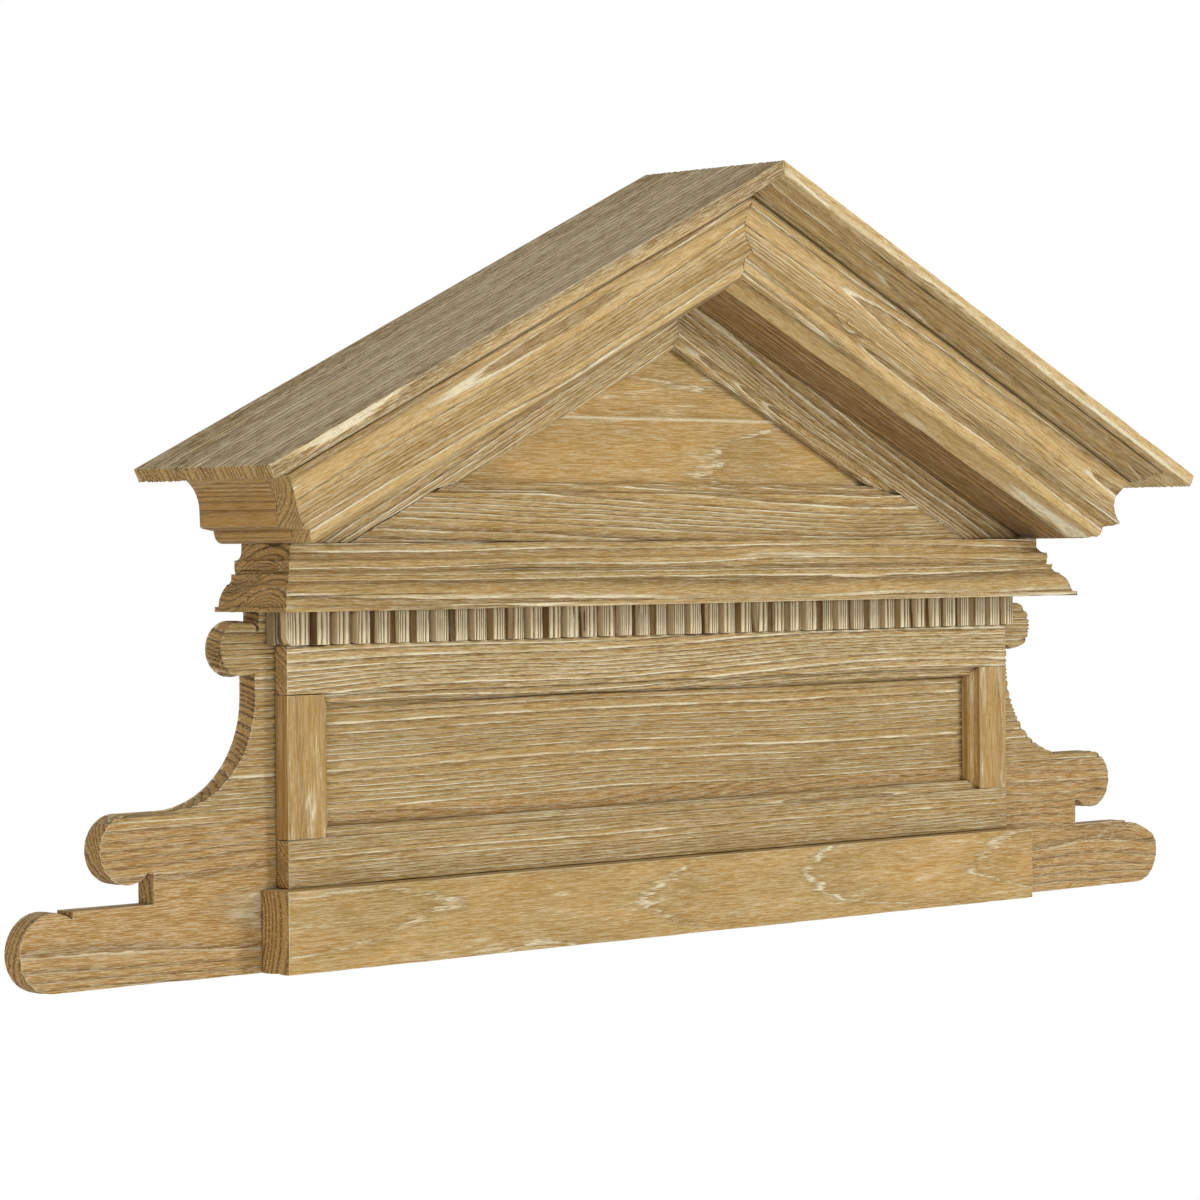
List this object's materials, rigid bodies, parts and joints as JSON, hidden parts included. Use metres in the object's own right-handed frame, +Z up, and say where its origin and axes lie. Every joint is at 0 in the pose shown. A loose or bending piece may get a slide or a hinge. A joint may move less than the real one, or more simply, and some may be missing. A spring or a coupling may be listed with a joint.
{
  "type": "wall pediment",
  "caption": "Wall-hung wooden pediment: gabled roof with a raking crown over bed mouldings, a dentil strip and a framed frieze on a scroll-winged back board.",
  "frame": {"origin": "on the back plane, on the pediment's centre line, 230 mm above its underside, where it is fixed to the wall", "axes": "X runs along the wall to the viewer's right, +Y points into the wall, Z up; the front faces -Y"},
  "size_m": [1.512, 0.182, 0.7249],
  "materials": {
    "limed_wood": "wire-brushed softwood, limed, matt",
    "brown_wood": "brushed softwood with little lime, matt",
    "roof_wood": "greyed softwood brushed along the grain, matt"
  },
  "bodies": {
    "root": {"back_board_lower": "limed_wood", "back_board_upper": "limed_wood", "plinth_board": "brown_wood", "frieze_top_rail": "limed_wood", "frieze_bottom_rail": "limed_wood", "frieze_left_stile": "limed_wood", "frieze_right_stile": "limed_wood", "dentil_strip": "limed_wood", "bed_moulding_lower": "limed_wood", "bed_moulding_upper": "limed_wood", "tympanum_board_lower": "limed_wood", "tympanum_board_upper": "limed_wood", "tympanum_left_rail": "limed_wood", "tympanum_right_rail": "limed_wood", "tympanum_bottom_rail": "limed_wood", "left_soffit_board": "brown_wood", "right_soffit_board": "brown_wood", "left_eave_return": "brown_wood", "right_eave_return": "brown_wood", "left_raking_crown": "limed_wood", "right_raking_crown": "limed_wood", "left_roof_board": "roof_wood", "right_roof_board": "roof_wood"}
  },
  "joints": []
}
